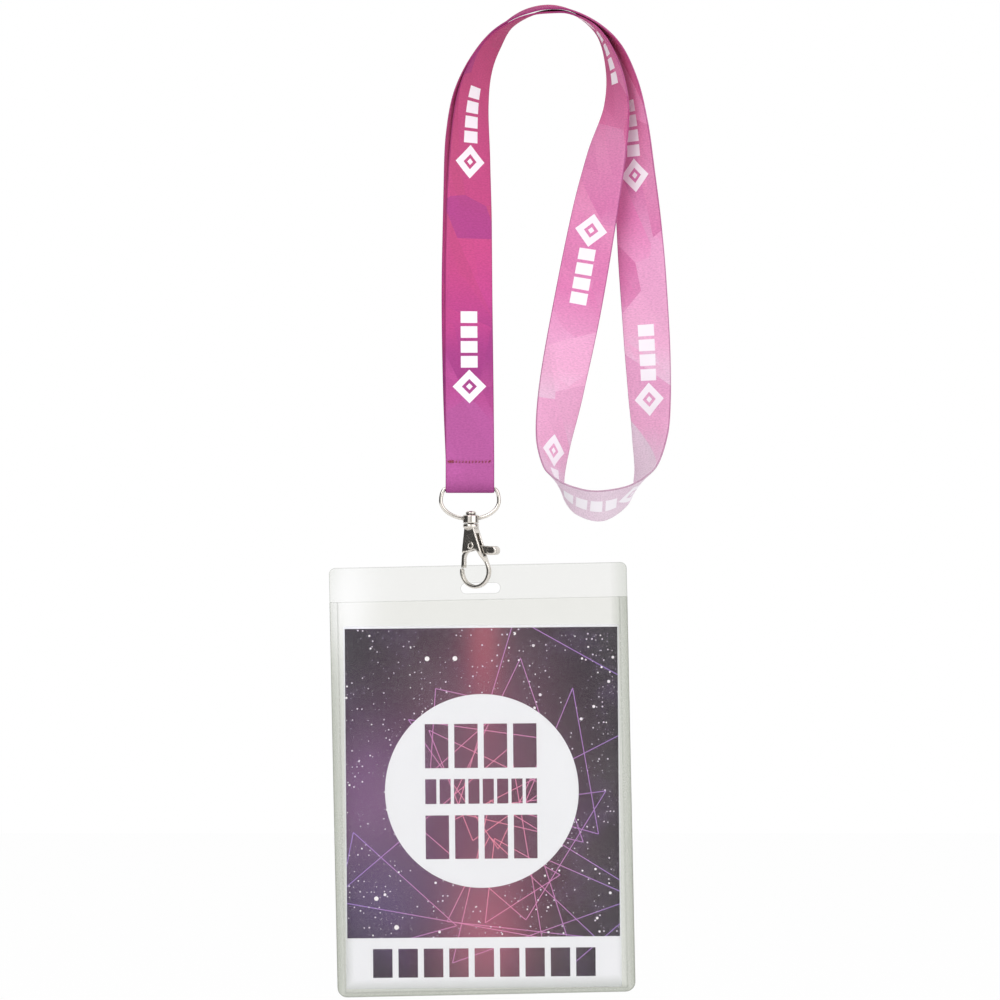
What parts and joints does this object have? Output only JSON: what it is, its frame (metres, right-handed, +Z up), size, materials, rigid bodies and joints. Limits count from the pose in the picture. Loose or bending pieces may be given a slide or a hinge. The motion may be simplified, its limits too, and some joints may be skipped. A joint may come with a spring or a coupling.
{
  "type": "lanyard badge holder",
  "caption": "Neck lanyard of printed ribbon with a D-ring, a swivelling trigger hook and a clear badge pouch holding a printed card.",
  "frame": {"origin": "inner face of the strap where it bears on the neck, at the top of the hanging loop", "axes": "+Z up, +Y from the front of the badge towards the wearer, +X to the right as the badge is read"},
  "size_m": [0.138, 0.0269, 0.4014],
  "materials": {
    "printed_ribbon": "dye-printed polyester ribbon, satin, fading from magenta to pale pink",
    "sewing_thread": "crimson polyester thread",
    "nickel": "bright nickel plate over cast zinc and steel wire",
    "spring_steel": "drawn spring wire",
    "clear_vinyl": "clear flexible vinyl sheet, slightly milky, welded rim",
    "printed_card": "coated card with a dark printed field and a white disc"
  },
  "bodies": {
    "strap": {"strap": "printed_ribbon", "needle_thread": "sewing_thread", "bobbin_thread": "sewing_thread"},
    "ring": {"d_ring": "nickel"},
    "swivel": {"swivel_drum": "nickel"},
    "hook": {"hook_body": "nickel", "lever_rivet": "nickel", "lever_spring": "spring_steel"},
    "lever": {"trigger_lever": "nickel"},
    "holder": {"back_sheet": "clear_vinyl", "front_sheet": "clear_vinyl"},
    "card": {"insert_card": "printed_card"}
  },
  "joints": [
    {"name": "ring_swing", "type": "hinge", "parent": "strap", "child": "ring", "pos_m": [-0.03301, -0.00329, -0.19259], "axis": [1, 0, 0], "range_deg": [-90, 90]},
    {"name": "swivel_tilt", "type": "hinge", "parent": "ring", "child": "swivel", "pos_m": [-0.03261, -0.00329, -0.20479], "axis": [-1, 0, 0], "range_deg": [-70, 70]},
    {"name": "hook_swivel", "type": "hinge", "parent": "swivel", "child": "hook", "pos_m": [-0.03261, -0.00329, -0.20479], "axis": [0, 0, 1], "continuous": true},
    {"name": "lever_open", "type": "hinge", "parent": "hook", "child": "lever", "pos_m": [-0.03176, -0.00382, -0.21549], "axis": [-0.5299, -0.848, 0], "range_deg": [0, 19], "stiffness_Nm_per_rad": 0.02, "springref_deg": -28.65, "deforming": ["lever_spring"]},
    {"name": "holder_swing", "type": "hinge", "parent": "hook", "child": "holder", "pos_m": [-0.03074, -0.00445, -0.23209], "axis": [0, -1, 0], "range_deg": [-15, 15]},
    {"name": "card_slide", "type": "slide", "parent": "holder", "child": "card", "axis": [-0.0209, 0, 0.9998], "range_m": [0, 0.013]}
  ]
}
